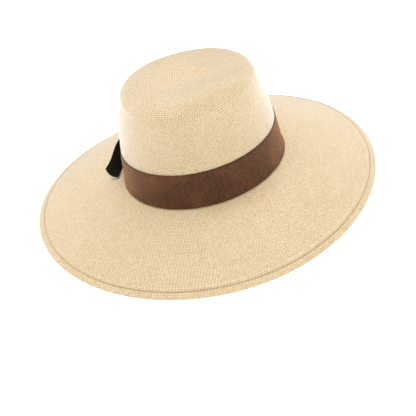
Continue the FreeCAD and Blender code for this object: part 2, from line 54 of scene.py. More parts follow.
HALF_WIDTH, HALF_LENGTH = 92.0, 100.3
CROWN_HEIGHT, SHOULDER_HEIGHT, ROUNDNESS = 117.8, 101.0, 3.0
BASE_FLARE, FLARE_HEIGHT = 1.8, 4.0
SIDE_TAPER, FRONT_TAPER, BACK_TAPER = 11.8, 20.3, 23.0
PINCH_RIGHT, PINCH_LEFT = 18.0, 6.0
PINCH_FORWARD, PINCH_HEIGHT, PINCH_LENGTH, PINCH_RISE = 15.0, 108.0, 32.0, 9.0
CREASE_DEPTH, CREASE_FORWARD, CREASE_HALF_WIDTH, CREASE_HALF_LENGTH = 8.0, 12.0, 30.0, 42.0
CREASE_REACH, CREASE_FADE = 0.72, 6
BRIM_WIDTH, BRIM_BACK_EXTRA, BRIM_SIDE_CUT = 105.0, 3.7, 4.4
BRIM_DROP, BRIM_BACK_LIFT, BRIM_SIDE_DROOP = 27.8, 5.5, 5.5
STRAW = 1.2
HEM_FOLD, HEM_GAP, HEM_SEAM, HEM_CHANNEL, HEM_SQUEEZE = 7.5, 0.15, 6.0, 0.75, 3.2
BAND_BOTTOM, BAND_HEIGHT, BAND_THICKNESS, BAND_ROOM, BAND_JOINT = 2.0, 42.5, 0.6, 1.0, 0.3
BOW_ANGLE, BOW_MIDDLE, BOW_THICKNESS = math.radians(38.0), 26.0, 0.6
LOOP_REACH, LOOP_HEIGHT, LOOP_BULGE = 30.0, 42.0, 6.5
TAIL_REACH, TAIL_HEIGHT = 58.0, 40.0
TAIL_FLARE, TAIL_LIFT, TAIL_DROP, TAIL_SAG, TAIL_CUP = 21.0, 6.0, 28.0, 4.0, 3.0
KNOT_WIDTH, KNOT_HEIGHT = 12.0, 35.0
SWEAT_BOTTOM, SWEAT_HEIGHT, SWEAT_THICKNESS, SWEAT_ROOM, SWEAT_JOINT = 1.0, 30.0, 0.8, 0.5, 0.4
SWEAT_SEAM = 2.5         # up from the sweatband's foot to its seam
LABEL_WIDTH, LABEL_HEIGHT, LABEL_THICKNESS, LABEL_BOTTOM = 28.0, 14.0, 0.5, 10.0
LINING = BAND_ROOM + STRAW + SWEAT_ROOM + SWEAT_THICKNESS        # from the ribbon's outer face
BACK = math.pi / 2

THREAD, TACK, TACK_LENGTH = 0.27, 0.25, 3.0      # radius of seam threads; radius, length of tacks
HEM_STITCH, SWEAT_STITCH, STITCH_SHARE = 3.0, 3.2, 0.42      # pitches; half a stitch, in pitches
SEAM_STAND, LAP_STAND, BAND_TACK_STAND, BOW_TACK_STAND = 0.35, 0.37, 0.3, 1.45
BAND_TACKS, BAND_TACK_DROP = 7, 1.8              # how many, and how far below the ribbon's top
BOW_TACK_OFFSET, BOW_TACK_LEVELS = 0.75, (-0.28, 0.22)       # in knot widths and tail heights
LAP_LEVELS = (0.12, 0.78)                        # up the sweatband, in sweatband heights

# ---------------------------------------------------------------- dimensions of the finish

WEAVE_PITCH = 2.0        # from one ring of the weave to the next
STRAND_WIDTH = 1.65
ROSETTE = (8.0, -26.0)   # where the weave's centre lies from the middle of the dome
ROSETTE_FADE = 1.2       # how soon the shift of the rings dies away
RIDGE_REST = 0.6         # share of a ring's rounded height that lies inside the smooth surface
CROWN_RIDGE, BRIM_RIDGE = 0.17, 0.10
CROWN_RINGS = (55.0, 90.0)       # the rings flatten between these distances from the centre
CROWN_TONES = (60.0, 95.0)       # and the weave's painted shade and highlight weaken between these
HEM_START = 9.5          # the hem's rows of points begin this far in from the wire
BRIM_END = 12.0          # and the brim's even rings end this far in from its edge
RIB_PITCH, RIB_DEPTH = 1.05, 0.12        # ribs of the grosgrain ribbons
RIB_ROWS = 4             # rows of points to a rib
EDGE_ROUND = 0.5         # width of a ribbon's rounded edge
AROUND = 320             # points round the straw
DOME_ROWS, WALL_ROWS, BRIM_ROWS = 700, 500, 500
SMOOTHING = 15           # rows that are averaged to round the corners between these

# The dark and light straw colours are random strand tones and also painted shade and painted
# highlight on the weave; the gap colour is painted shade between strands and along the hem's seam.
STRAW_WARM, STRAW_PALE = (231, 206, 158), (240, 220, 178)
STRAW_DARK, STRAW_GAP_SHADE, STRAW_LIGHT = (186, 147, 97), (172, 134, 84), (254, 243, 214)
STRAW_CENTRE = (226, 178, 118)

low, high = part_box("hatband")
FOOT = np.array([
    500 * (low.x + high.x), 500 * (low.y + high.y), 1000 * low.z - BAND_BOTTOM,
])

# ---------------------------------------------------------------- shape of the crown and brim


def bell(value, width):
    """A smooth bump, 1 in the middle."""
    return np.exp(-((value / width) ** 2) / 2)


def oval_normal(angle):
    """Outward level direction of the head's oval."""
    across, along = np.cos(angle) / HALF_WIDTH, np.sin(angle) / HALF_LENGTH
    normal = np.stack([across, along, np.zeros_like(across)], -1)
    return normal / np.linalg.norm(normal, axis=-1, keepdims=True)


def wall_inset(height, taper):
    """How far the crown's wall stands inside the oval of its foot at a height."""
    share = height / SHOULDER_HEIGHT
    flare = BASE_FLARE * (1 - np.exp(-np.maximum(0, height - BAND_BOTTOM) / FLARE_HEIGHT))
    return flare + (SIDE_TAPER - BASE_FLARE) * share + (taper - SIDE_TAPER) * share**3


def wall_point(angle, height, outward=0.0):
    """Points beside the crown's wall, where outward 0 is the ribbon's outer face."""
    angle, height, outward = np.broadcast_arrays(angle, height, outward)
    end_taper = np.where(np.sin(angle) < 0, FRONT_TAPER, BACK_TAPER)
    across = (HALF_WIDTH - wall_inset(height, SIDE_TAPER)) * np.cos(angle)
    along = (HALF_LENGTH - wall_inset(height, end_taper)) * np.sin(angle)
    return np.stack([across, along, height], -1) + oval_normal(angle) * outward[..., None]


def angle_along(start_angle, distance):
    """The oval's angle a short distance round from a start angle."""
    speed = math.hypot(HALF_WIDTH * math.sin(start_angle), HALF_LENGTH * math.cos(start_angle))
    return start_angle + distance / speed


def dented(points):
    """Presses the finger dents into the crown's sides and the crease into its top."""
    x, y, z = points[..., 0], points[..., 1], points[..., 2]
    near_side = np.minimum(1, np.abs(x) / (HALF_WIDTH / 2)) ** 2
    pinch = np.where(x < 0, PINCH_RIGHT, PINCH_LEFT) * near_side
    pinch = pinch * bell(y + PINCH_FORWARD, PINCH_LENGTH)
    pinch = pinch * bell(z - PINCH_HEIGHT, PINCH_RISE)
    spread = np.hypot(x / HALF_WIDTH, y / HALF_LENGTH)
    crease = CREASE_DEPTH * np.exp(-((spread / CREASE_REACH) ** CREASE_FADE))
    crease = crease * bell(x, CREASE_HALF_WIDTH) * bell(y + CREASE_FORWARD, CREASE_HALF_LENGTH)
    crease = np.where(z < SHOULDER_HEIGHT, 0, crease)
    return np.stack([x - np.sign(x) * pinch, y, z - crease], -1)


def wall_rings(angle, height):
    """Rings of the straw's outer face up the crown's wall."""
    inside = 1 - BAND_ROOM / HALF_WIDTH
    return dented(wall_point(angle, height) * np.array([inside, inside, 1]))


def brim_reach(angle):
    """Width of the brim."""
    return BRIM_WIDTH + BRIM_BACK_EXTRA * np.sin(angle) - BRIM_SIDE_CUT * np.cos(2 * angle)


def brim_fall(angle):
    """How far the brim's edge hangs below the foot of the crown."""
    return BRIM_DROP - BRIM_BACK_LIFT * np.sin(angle) + BRIM_SIDE_DROOP * np.cos(2 * angle)


def brim_point(angle, share):
    """Points on the brim's upper face; share runs from the crown, 0, to the edge, 1."""
    outward = oval_normal(angle) * (brim_reach(angle) * share)[..., None]
    fall = brim_fall(angle) * (0.5 * share + 0.5 * share**2)
    return wall_point(angle, 0 * angle) + outward - fall[..., None] * np.array([0, 0, 1])


def hem_point(angle, inward, upward_by):
    """Points that stand inward of the wire in the hem, and above or below it."""
    slope = (-1.5 * brim_fall(angle) / brim_reach(angle))[..., None]
    level, up = oval_normal(angle), np.array([0, 0, 1.0])
    length = np.sqrt(1 + slope**2)
    outward, upward = (level + slope * up) / length, (up - slope * level) / length
    centre = brim_point(angle, 1 + 0 * angle) - (outward + upward) * (HEM_CHANNEL + STRAW)
    return centre - outward * inward + upward * upward_by


def fold_height(inward):
    """Height of the folded layer's inner face against the wire's centre."""
    closed = HEM_CHANNEL - HEM_GAP
    return closed - (closed + HEM_CHANNEL) * math.exp(-((inward / HEM_SQUEEZE) ** 2))


# ---------------------------------------------------------------- mesh tools


def net_normals(net, closed_rings):
    """The unit normal at each point of a net, on the side of row direction x ring direction."""
    down = np.gradient(net, axis=0)
    if closed_rings:
        round_ = np.roll(net, -1, axis=1) - np.roll(net, 1, axis=1)
    else:
        round_ = np.gradient(net, axis=1)
    normal = np.cross(down, round_)
    return normal / np.maximum(np.linalg.norm(normal, axis=-1, keepdims=True), 1e-9)


def make_mesh(name, points, faces, slot, attributes):
    """A smooth-shaded piece that rides on the hat, from points in millimetres."""
    mesh = bpy.data.meshes.new(name)
    faces = [np.asarray(group) for group in faces if len(group)]
    corners = np.concatenate([group.ravel() for group in faces]).astype(np.int32)
    sizes = np.concatenate([np.full(len(group), group.shape[1]) for group in faces])
    mesh.vertices.add(len(points))
    mesh.vertices.foreach_set("co", ((points + FOOT) / 1000).astype(np.float32).ravel())
    mesh.loops.add(len(corners))
    mesh.loops.foreach_set("vertex_index", corners)
    mesh.polygons.add(len(sizes))
    starts = np.concatenate([[0], np.cumsum(sizes)[:-1]]).astype(np.int32)
    mesh.polygons.foreach_set("loop_start", starts)
    mesh.polygons.foreach_set("use_smooth", np.ones(len(sizes), bool))
    mesh.update(calc_edges=True)
    for key, values in attributes.items():
        layer = mesh.attributes.new(key, "FLOAT", "POINT")
        layer.data.foreach_set("value", np.asarray(values, np.float32).ravel())
    piece = bpy.data.objects.new(name, mesh)
    bpy.context.scene.collection.objects.link(piece)
    piece.data.materials.append(materials[slot])
    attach(piece, "root")
    return piece


def quads(index, wrap_rows, wrap_columns):
    """The four corners of every cell of a grid of vertex numbers."""
    if wrap_rows:
        index = np.concatenate([index, index[:1]], 0)
    if wrap_columns:
        index = np.concatenate([index, index[:, :1]], 1)
    cells = np.stack([index[:-1, :-1], index[1:, :-1], index[1:, 1:], index[:-1, 1:]], -1)
    return cells.reshape(-1, 4)


def ribbon(name, net, thickness, slot, along, across):
    """A ribbed ribbon about a net of points: rows run along it, and columns across."""
    normals = net_normals(net, closed_rings=False)
    width = across[-1] - across[0]
    near_edge = np.clip((width / 2 - np.abs(across)) / EDGE_ROUND, 0, 1)
    half = thickness / 2 * np.sqrt(1 - (1 - near_edge) ** 2 * 0.75)
    rib = np.abs(np.cos(math.pi * along / RIB_PITCH))[:, None]
    relief = (half[None, :] - RIB_DEPTH * (1 - rib))[..., None]
    front, back = net + normals * relief, net - normals * relief
    points = np.concatenate([front, back[:, ::-1]], 1)
    index = np.arange(points.shape[0] * points.shape[1]).reshape(points.shape[:2])
    count = net.shape[1]
    faces = [quads(index, False, True)]
    for row, flip in ((0, False), (-1, True)):
        end = np.stack([index[row, :count], index[row, count:][::-1]], 0)
        faces.append(quads(end[::-1] if flip else end, False, False))
    along_grid = np.broadcast_to(along[:, None], points.shape[:2])
    both = np.concatenate([across, across[::-1]])
    across_grid = np.broadcast_to(both[None, :], points.shape[:2])
    facts = {"along": along_grid, "across": across_grid}
    return make_mesh(name, points.reshape(-1, 3), faces, slot, facts)


def stitches(name, paths, sideways, radius, slot):
    """Short threads: each path is a few points, and its ends are rounded off."""
    sides, steps = 8, paths.shape[1]
    tangent = np.gradient(paths, axis=1)
    tangent /= np.linalg.norm(tangent, axis=-1, keepdims=True)
    first = np.cross(tangent, sideways[:, None, :])
    first /= np.linalg.norm(first, axis=-1, keepdims=True)
    second = np.cross(tangent, first)
    swell = radius * np.sqrt(1 - (0.93 * np.linspace(-1, 1, steps)) ** 6)
    turns = np.linspace(0, 2 * math.pi, sides, endpoint=False)
    ring = first[:, :, None] * np.cos(turns)[:, None] + second[:, :, None] * np.sin(turns)[:, None]
    points = paths[:, :, None] + ring * swell[None, :, None, None]
    index = np.arange(points[..., 0].size).reshape(points.shape[:3])
    faces = [quads(grid, False, True) for grid in index]
    caps = np.concatenate([index[:, 0, ::-1], index[:, -1]], 0)
    run = np.broadcast_to(np.linspace(0, 1, steps)[None, :, None], index.shape)
    return make_mesh(name, points.reshape(-1, 3), [np.concatenate(faces), caps], slot,
                     {"along": run})


def spline_weights(count, samples):
    """Weights that turn a row of control points into points along a clamped cubic spline."""
    knots = np.concatenate([[0, 0, 0], np.linspace(0, 1, count - 2), [1, 1, 1]])
    where = np.linspace(0, 1 - 1e-9, samples)
    basis = ((where[:, None] >= knots[:-1]) & (where[:, None] < knots[1:])).astype(float)
    for degree in (1, 2, 3):
        left = knots[degree:-1] - knots[:-1 - degree]
        right = knots[degree + 1:] - knots[1:-degree]
        rising = (where[:, None] - knots[:-1 - degree]) / np.where(left > 0, left, 1)
        falling = (knots[degree + 1:] - where[:, None]) / np.where(right > 0, right, 1)
        basis = rising * (left > 0) * basis[:, :-1] + falling * (right > 0) * basis[:, 1:]
    return basis


def smooth_net(net, rows, columns):
    """A fine net on the smooth surface that a coarse net of control points describes."""
    net = np.asarray(net, float)
    along = np.einsum("ij,jkl->ikl", spline_weights(net.shape[0], rows), net)
    return np.einsum("ij,kjl->kil", spline_weights(net.shape[1], columns), along)


def even_rows(net, step):
    """The net's rows picked out at even steps of length, and their distances in millimetres."""
    middle = net[:, net.shape[1] // 2]
    distance = np.concatenate([[0], np.cumsum(np.linalg.norm(np.diff(middle, axis=0), axis=1))])
    wanted = np.arange(0, distance[-1], step)
    place = np.interp(wanted, distance, np.arange(len(net)))
    below = np.minimum(place.astype(int), len(net) - 2)
    part = (place - below)[:, None, None]
    return net[below] * (1 - part) + net[below + 1] * part, wanted


# ---------------------------------------------------------------- materials


class Nodes:
    """Short calls for building one material's node tree."""

    def __init__(self, name):
        self.material = bpy.data.materials.new(name)
        self.material.use_nodes = True
        self.tree = self.material.node_tree
        self.shader = self.tree.nodes["Principled BSDF"]

    def add(self, kind, *inputs, **settings):
        """A node whose inputs are given in order; None leaves an input as it is."""
        node = self.tree.nodes.new(kind)
        for key, value in settings.items():
            setattr(node, key, value)
        for socket, value in zip(node.inputs, inputs):
            self.put(socket, value)
        return node

    def put(self, socket, value):
        if isinstance(value, bpy.types.NodeSocket):
            self.tree.links.new(value, socket)
        elif value is not None:
            socket.default_value = value

    def math(self, operation, first, second=None):
        node = self.add("ShaderNodeMath", first, second, operation=operation)
        return node.outputs[0]

    def attribute(self, name):
        node = self.add("ShaderNodeAttribute", attribute_name=name)
        return node.outputs["Fac"]

    def position(self):
        return self.add("ShaderNodeTexCoord").outputs["Object"]

    def noise(self, vector, scale, detail=2.0, roughness=0.5):
        node = self.add("ShaderNodeTexNoise")
        self.put(node.inputs["Vector"], vector)
        self.put(node.inputs["Scale"], scale)
        self.put(node.inputs["Detail"], detail)
        self.put(node.inputs["Roughness"], roughness)
        return node.outputs["Fac"]

    def band(self, value, start, end, low_value=0.0, high_value=1.0):
        """A smooth step from start to end."""
        node = self.add("ShaderNodeMapRange", value, start, end, low_value, high_value,
                        interpolation_type="SMOOTHSTEP")
        return node.outputs[0]

    def mix(self, share, first, second):
        """A colour part of the way from the first to the second."""
        node = self.add("ShaderNodeMix", data_type="RGBA")
        for place, value in ((0, share), (6, first), (7, second)):
            self.put(node.inputs[place], value)
        return node.outputs[2]

    def combine(self, x, y, z):
        return self.add("ShaderNodeCombineXYZ", x, y, z).outputs[0]

    def random(self, vector):
        node = self.add("ShaderNodeTexWhiteNoise", noise_dimensions="3D")
        self.put(node.inputs["Vector"], vector)
        return node.outputs["Value"]

    def bump(self, height, distance, strength):
        node = self.add("ShaderNodeBump")
        self.put(node.inputs["Height"], height)
        self.put(node.inputs["Distance"], distance)
        self.put(node.inputs["Strength"], strength)
        return node.outputs[0]

    def finish(self, colour, roughness, normal=None, specular=0.4, sheen=0.0,
               sheen_roughness=0.5, sheen_tint=(1, 1, 1, 1)):
        put, sockets = self.put, self.shader.inputs
        put(sockets["Base Color"], colour)
        put(sockets["Roughness"], roughness)
        put(sockets["Specular IOR Level"], specular)
        put(sockets["Sheen Weight"], sheen)
        put(sockets["Sheen Roughness"], sheen_roughness)
        put(sockets["Sheen Tint"], sheen_tint)
        if normal is not None:
            put(sockets["Normal"], normal)
        return self.material


def rgb(red, green, blue):
    """A colour given as it looks on a screen, 0 to 255, as the renderer's linear colour."""
    linear = [
        (c / 255 / 12.92) if c <= 10 else ((c / 255 + 0.055) / 1.055) ** 2.4
        for c in (red, green, blue)
    ]
    return (*linear, 1.0)


def straw_material():
    """Rings of slanting palm strands, each a little different in colour, with painted shade and
    highlight on the weave and painted shade along the hem's seam.
    """
    n = Nodes("straw")
    m = n.math
    turn = m("ARCTAN2", n.attribute("turn_sine"), n.attribute("turn_cosine"))
    turn = m("DIVIDE", turn, 2 * math.pi)
    distance = n.attribute("ring_distance")
    row_place = m("DIVIDE", distance, WEAVE_PITCH)
    row = m("FLOOR", row_place)
    row_share = m("FRACT", row_place)
    parity = m("SUBTRACT", m("MULTIPLY", m("FLOORED_MODULO", row, 2.0), 2.0), 1.0)
    ring_at = m("MULTIPLY", row, WEAVE_PITCH)
    past_foot = m("MAXIMUM", m("SUBTRACT", ring_at, foot_distance), 0.0)
    ring_radius = m("ADD", m("MINIMUM", ring_at, 0.95 * HALF_WIDTH), past_foot)
    strands = m("ROUND", m("MULTIPLY", ring_radius, 2 * math.pi / STRAND_WIDTH))
    slant = m("MULTIPLY", m("SUBTRACT", row_share, 0.5), parity)
    phase = m("ADD", m("MULTIPLY", turn, strands), slant)
    strand = m("FLOORED_MODULO", m("FLOOR", phase), strands)
    strand_share = m("FRACT", phase)
    strand_round = m("SINE", m("MULTIPLY", strand_share, math.pi))
    row_round = m("SINE", m("MULTIPLY", row_share, math.pi))
    height = m("POWER", m("MULTIPLY", strand_round, row_round), 0.5)
    tone = n.random(n.combine(row, strand, 0.0))

    long_way = m("MULTIPLY", m("MULTIPLY", turn, strands), 0.35)
    fleck_place = n.combine(m("MULTIPLY", row_place, 0.8), long_way, 0.0)
    fleck = n.band(n.noise(fleck_place, 1.0, 3.0, 0.6), 0.56, 0.72)
    cloud = n.noise(n.position(), 38.0, 3.0, 0.55)
    colour = n.mix(n.band(cloud, 0.0, 1.0), rgb(*STRAW_WARM), rgb(*STRAW_PALE))
    # painted shade and highlight: strands that dip under are darkened and strands that ride over are
    # lightened, less so away from the crown's top
    under = m("FLOORED_MODULO", m("ADD", strand, row), 2.0)
    over = m("SUBTRACT", 1.0, under)
    strength = n.band(distance, *CROWN_TONES, 0.40, 0.25)
    colour = n.mix(m("MULTIPLY", under, strength), colour, rgb(*STRAW_DARK))
    colour = n.mix(m("MULTIPLY", over, strength), colour, rgb(*STRAW_LIGHT))
    colour = n.mix(m("MULTIPLY", n.band(tone, 0.5, 1.0), 0.22), colour, rgb(*STRAW_DARK))
    colour = n.mix(m("MULTIPLY", n.band(tone, 0.5, 0.0), 0.22), colour, rgb(*STRAW_LIGHT))
    colour = n.mix(m("MULTIPLY", fleck, 0.16), colour, rgb(*STRAW_DARK))
    # painted shade in the gaps between strands, darkest on the crown
    gap_shade = m("SUBTRACT", 1.0, n.band(height, 0.15, 0.75))
    depth = n.band(distance, *CROWN_TONES, 0.95, 0.68)
    colour = n.mix(m("MULTIPLY", gap_shade, depth), colour, rgb(*STRAW_GAP_SHADE))
    centre = n.band(distance, 16.0, 4.0)
    colour = n.mix(m("MULTIPLY", centre, 0.25), colour, rgb(*STRAW_CENTRE))
    # painted shade along the hem's seam line, where the groove and thread shade the straw
    from_seam = m("ABSOLUTE", m("SUBTRACT", distance, seam_distance))
    colour = n.mix(m("MULTIPLY", n.band(from_seam, 0.9, 0.3), 0.2), colour, rgb(*STRAW_GAP_SHADE))
    rough = n.band(tone, 0.0, 1.0, 0.48, 0.66)
    fibre = n.noise(n.combine(m("MULTIPLY", phase, 6.0), row_place, 0.0), 1.0, 2.0)
    normal = n.bump(m("ADD", height, m("MULTIPLY", fibre, 0.15)), 0.00022, 0.75)
    return n.finish(colour, rough, normal, specular=0.35, sheen=1.0,
                    sheen_roughness=0.5, sheen_tint=rgb(255, 255, 255))


def ribbon_material(name, colour, worn_and_sheen, sheen, sheen_tint, dark_and_shade_colour, half_width):
    """Grosgrain: round ribs across the ribbon, fine warp threads over them, a firm edge, with
    painted shade in the rib grooves and broad painted sheen and shade patches.
    """
    n = Nodes(name)
    m = n.math
    along, across = n.attribute("along"), n.attribute("across")
    rib_place = m("DIVIDE", along, RIB_PITCH)
    rib = m("ABSOLUTE", m("COSINE", m("MULTIPLY", rib_place, math.pi)))
    warp = m("SINE", m("MULTIPLY", across, 2 * math.pi / 0.32))
    warp = m("MULTIPLY", m("ADD", warp, 1.0), 0.5)
    tone = n.random(n.combine(m("FLOOR", m("ADD", rib_place, 0.5)), 0.0, 0.0))
    speck = n.noise(n.combine(m("MULTIPLY", along, 0.9), m("MULTIPLY", across, 0.22), 0.0),
                    1.0, 3.0, 0.6)
    grain = n.noise(n.position(), 620.0, 1.0)
    cloud = n.noise(n.position(), 32.0, 2.0)
    mixed = n.mix(m("MULTIPLY", n.band(speck, 0.35, 0.7), 0.45), colour, worn_and_sheen)
    mixed = n.mix(m("MULTIPLY", n.band(grain, 0.50, 0.66), 0.45), mixed, worn_and_sheen)
    mixed = n.mix(m("MULTIPLY", n.band(grain, 0.50, 0.34), 0.45), mixed, dark_and_shade_colour)
    # painted sheen and shade: broad noise patches lighten the ribbon in some places and darken it in
    # others
    mixed = n.mix(m("MULTIPLY", n.band(cloud, 0.45, 0.75), 0.5), mixed, worn_and_sheen)
    mixed = n.mix(m("MULTIPLY", n.band(cloud, 0.55, 0.25), 0.3), mixed, dark_and_shade_colour)
    mixed = n.mix(m("MULTIPLY", tone, 0.15), mixed, worn_and_sheen)
    # painted shade in the grooves between ribs
    groove_shade = m("SUBTRACT", 1.0, n.band(rib, 0.05, 0.6))
    mixed = n.mix(m("MULTIPLY", groove_shade, 0.28), mixed, dark_and_shade_colour)
    edge = n.band(m("ABSOLUTE", across), half_width - 1.3, half_width - 0.5)
    mixed = n.mix(m("MULTIPLY", edge, 0.25), mixed, dark_and_shade_colour)
    height = m("ADD", m("MULTIPLY", rib, 0.6), m("MULTIPLY", warp, 0.25))
    normal = n.bump(height, 0.00015, 0.7)
    rough = n.band(speck, 0.3, 0.7, 0.5, 0.68)
    return n.finish(mixed, rough, normal, specular=0.22, sheen=sheen,
                    sheen_roughness=0.38, sheen_tint=sheen_tint)


def thread_material(name, colour, light):
    """Spun thread: fine plies that twist along each stitch."""
    n = Nodes(name)
    m = n.math
    ply = n.add("ShaderNodeTexWave", wave_type="BANDS", bands_direction="DIAGONAL")
    n.put(ply.inputs["Vector"], n.position())
    n.put(ply.inputs["Scale"], 900.0)
    n.put(ply.inputs["Distortion"], 1.5)
    twist = ply.outputs["Fac"]
    fuzz = n.noise(n.position(), 1500.0, 2.0)
    mixed = n.mix(m("MULTIPLY", twist, 0.6), colour, light)
    normal = n.bump(m("ADD", twist, m("MULTIPLY", fuzz, 0.4)), 0.0001, 0.6)
    return n.finish(mixed, n.band(fuzz, 0.3, 0.7, 0.5, 0.7), normal, specular=0.35, sheen=0.3)


def wire_material():
    """Extruded cord: pale plastic with faint drawing lines and scuffs."""
    n = Nodes("wire")
    m = n.math
    scuff = n.noise(n.position(), 160.0, 4.0, 0.65)
    line = n.noise(n.position(), 2400.0, 1.0)
    mixed = n.mix(n.band(scuff, 0.4, 0.7), rgb(226, 221, 208), rgb(196, 188, 170))
    normal = n.bump(m("ADD", line, scuff), 0.00004, 0.5)
    return n.finish(mixed, n.band(scuff, 0.3, 0.7, 0.28, 0.46), normal, specular=0.5)


def label_material():
    """Close woven tape: a fine plain weave, blank."""
    n = Nodes("label_cloth")
    m = n.math
    along, across = n.attribute("along"), n.attribute("across")
    warp = m("SINE", m("MULTIPLY", along, 2 * math.pi / 0.4))
    weft = m("SINE", m("MULTIPLY", across, 2 * math.pi / 0.4))
    weave = m("MULTIPLY", warp, weft)
    slub = n.noise(n.combine(m("MULTIPLY", along, 0.3), m("MULTIPLY", across, 3.0), 0.0), 1.0)
    mixed = n.mix(n.band(slub, 0.3, 0.7), rgb(238, 234, 224), rgb(222, 216, 202))
    mixed = n.mix(m("MULTIPLY", n.band(weave, 0.0, -0.8), 0.3), mixed, rgb(190, 182, 166))
    normal = n.bump(weave, 0.00008, 0.6)
    return n.finish(mixed, n.band(slub, 0.3, 0.7, 0.5, 0.64), normal, specular=0.4, sheen=0.15)


# ---------------------------------------------------------------- straw


def moved_rosette(angle, spread):
    """The dome's rings, drawn round the weave's centre, which lies forward of the dome's."""
    level = wall_point(angle, SHOULDER_HEIGHT + 0 * spread)[..., :2] * (1 - BAND_ROOM / HALF_WIDTH)
    half_width = level[..., 0].max()
    place = level * spread[..., None] + np.array(ROSETTE) * (1 - spread[..., None]) ** ROSETTE_FADE
    half_length = np.where(place[..., 1] < 0, -level[..., 1].min(), level[..., 1].max())
    away = np.hypot(place[..., 0] / half_width, place[..., 1] / half_length)
    away = np.minimum(away, 1)
    rise = (CROWN_HEIGHT - SHOULDER_HEIGHT) * (1 - away**ROUNDNESS) ** (1 / ROUNDNESS)
    return dented(np.concatenate([place, SHOULDER_HEIGHT + rise[..., None]], -1))


def upper_rings():
    """Fine rings of the outer face, evenly spaced, from the crown's top to the hem."""
    angle = np.linspace(0, 2 * math.pi, AROUND, endpoint=False)[None, :]
    lean = np.linspace(0.004, math.pi / 2, DOME_ROWS, endpoint=False)[:, None]
    reach = (np.sin(lean) ** ROUNDNESS + np.cos(lean) ** ROUNDNESS) ** (-1 / ROUNDNESS)
    dome = moved_rosette(angle, reach * np.sin(lean) + 0 * angle)
    height = np.linspace(SHOULDER_HEIGHT, 0, WALL_ROWS)[:, None]
    wall = wall_rings(angle, height)
    share = np.linspace(0.002, 1, BRIM_ROWS)[:, None] * (1 - BRIM_END / brim_reach(angle))
    brim = brim_point(angle + 0 * share, share)
    net = np.concatenate([dome, wall, brim], 0)
    pad = SMOOTHING // 2
    padded = np.concatenate([net[:pad], net, net[-pad:]], 0)
    total = np.cumsum(np.concatenate([np.zeros_like(net[:1]), padded], 0), axis=0)
    rounded = (total[SMOOTHING:] - total[:-SMOOTHING]) / SMOOTHING
    rounded[:SMOOTHING], rounded[-SMOOTHING:] = net[:SMOOTHING], net[-SMOOTHING:]
    return angle[0], rounded


def ring_distances(net):
    """Distance from the crown's top to each ring, averaged round the hat."""
    steps = np.linalg.norm(np.diff(net, axis=0), axis=-1).mean(1)
    first = np.linalg.norm(net[0] - net[0].mean(0), axis=-1).mean()
    return first + np.concatenate([[0], np.cumsum(steps)])


ring_angles, fine_upper = upper_rings()
fine_distance = ring_distances(fine_upper)
foot_distance = float(fine_distance[DOME_ROWS + WALL_ROWS])
hem_distance = float(fine_distance[-1])
seam_distance = hem_distance + HEM_START - HEM_SEAM

materials = {
    "straw": straw_material(),
    "wire": wire_material(),
    "straw_thread": thread_material("straw_thread", rgb(178, 150, 108), rgb(208, 184, 144)),
    "brown_ribbon": ribbon_material(
        "brown_ribbon", rgb(64, 36, 18), rgb(132, 82, 49), 1.0, rgb(246, 190, 138),
        rgb(34, 19, 10), BAND_HEIGHT / 2,
    ),
    "brown_thread": thread_material("brown_thread", rgb(66, 40, 26), rgb(98, 62, 42)),
    "black_ribbon": ribbon_material(
        "black_ribbon", rgb(24, 22, 21), rgb(40, 36, 33), 0.35, rgb(190, 165, 140),
        rgb(12, 11, 11), LOOP_HEIGHT / 2,
    ),
    "black_thread": thread_material("black_thread", rgb(22, 20, 20), rgb(48, 45, 43)),
    "cotton_ribbon": ribbon_material(
        "cotton_ribbon", rgb(228, 221, 205), rgb(212, 203, 183), 0.2, rgb(255, 250, 240),
        rgb(196, 186, 166), SWEAT_HEIGHT / 2,
    ),
    "label_cloth": label_material(),
}


